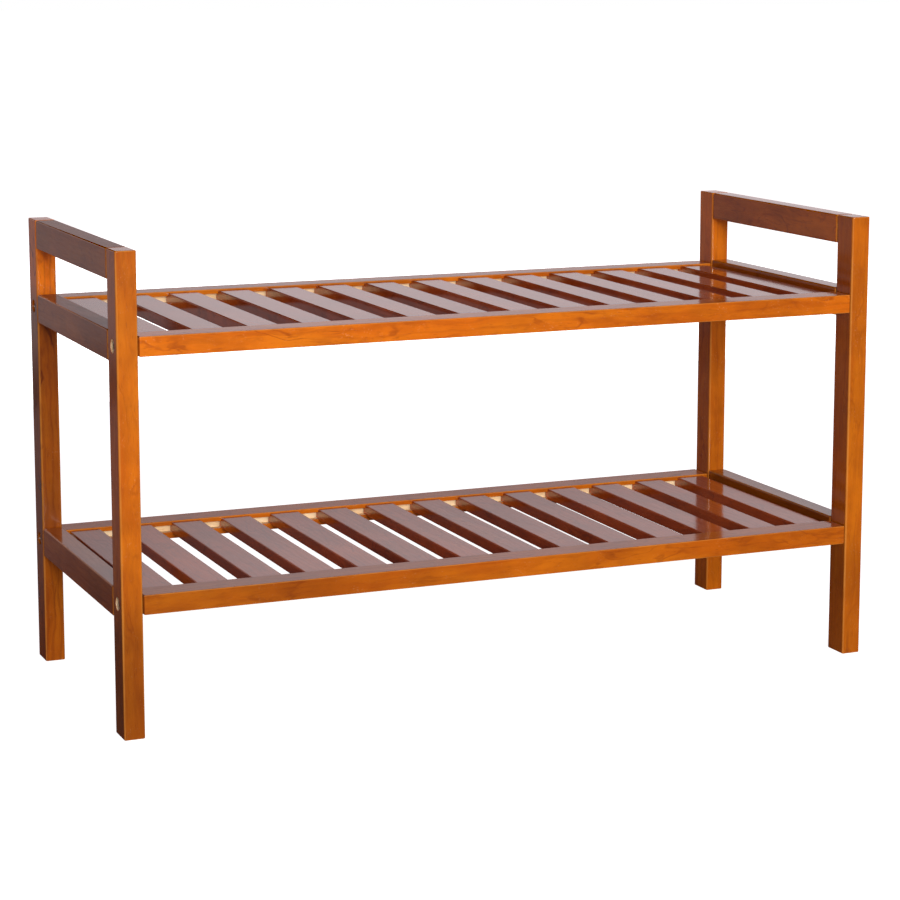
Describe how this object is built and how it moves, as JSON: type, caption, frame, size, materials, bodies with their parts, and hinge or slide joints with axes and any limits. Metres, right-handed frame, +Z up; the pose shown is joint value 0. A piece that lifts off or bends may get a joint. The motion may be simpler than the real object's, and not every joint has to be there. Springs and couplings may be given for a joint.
{
  "type": "entryway bench",
  "caption": "Two-tier slatted wooden entryway bench and shoe rack with raised handle rails at both ends, bolted together with barrel nuts.",
  "frame": {"origin": "on the floor, under the middle of the bench", "axes": "+X along the length, to the right as seen from the front; +Y from front to back; +Z up"},
  "size_m": [0.78, 0.32, 0.45],
  "materials": {
    "stained_wood": "glossy reddish-brown stain and clear lacquer, fine straight grain, pale at worn joints",
    "slat_wood": "glossy reddish-brown stain and clear lacquer, grain along the slat",
    "bolt_steel": "zinc plated, satin",
    "nut_steel": "zinc plated, satin"
  },
  "bodies": {
    "root": {"post_front_left": "stained_wood", "post_front_right": "stained_wood", "post_back_left": "stained_wood", "post_back_right": "stained_wood", "handle_rail_left": "stained_wood", "side_rail_lower_left": "stained_wood", "side_rail_upper_left": "stained_wood", "handle_rail_right": "stained_wood", "side_rail_lower_right": "stained_wood", "side_rail_upper_right": "stained_wood", "front_rail_lower": "stained_wood", "front_rail_upper": "stained_wood", "back_rail_lower": "stained_wood", "back_rail_upper": "stained_wood", "slat_lower_01": "slat_wood", "slat_lower_02": "slat_wood", "slat_lower_03": "slat_wood", "slat_lower_04": "slat_wood", "slat_lower_05": "slat_wood", "slat_lower_06": "slat_wood", "slat_lower_07": "slat_wood", "slat_lower_08": "slat_wood", "slat_lower_09": "slat_wood", "slat_lower_10": "slat_wood", "slat_lower_11": "slat_wood", "slat_lower_12": "slat_wood", "slat_lower_13": "slat_wood", "slat_lower_14": "slat_wood", "slat_upper_01": "slat_wood", "slat_upper_02": "slat_wood", "slat_upper_03": "slat_wood", "slat_upper_04": "slat_wood", "slat_upper_05": "slat_wood", "slat_upper_06": "slat_wood", "slat_upper_07": "slat_wood", "slat_upper_08": "slat_wood", "slat_upper_09": "slat_wood", "slat_upper_10": "slat_wood", "slat_upper_11": "slat_wood", "slat_upper_12": "slat_wood", "slat_upper_13": "slat_wood", "slat_upper_14": "slat_wood", "bolt_lower_front_left": "bolt_steel", "barrel_nut_lower_front_left": "nut_steel", "bolt_lower_front_right": "bolt_steel", "barrel_nut_lower_front_right": "nut_steel", "bolt_lower_back_left": "bolt_steel", "barrel_nut_lower_back_left": "nut_steel", "bolt_lower_back_right": "bolt_steel", "barrel_nut_lower_back_right": "nut_steel", "bolt_upper_front_left": "bolt_steel", "barrel_nut_upper_front_left": "nut_steel", "bolt_upper_front_right": "bolt_steel", "barrel_nut_upper_front_right": "nut_steel", "bolt_upper_back_left": "bolt_steel", "barrel_nut_upper_back_left": "nut_steel", "bolt_upper_back_right": "bolt_steel", "barrel_nut_upper_back_right": "nut_steel"}
  },
  "joints": []
}
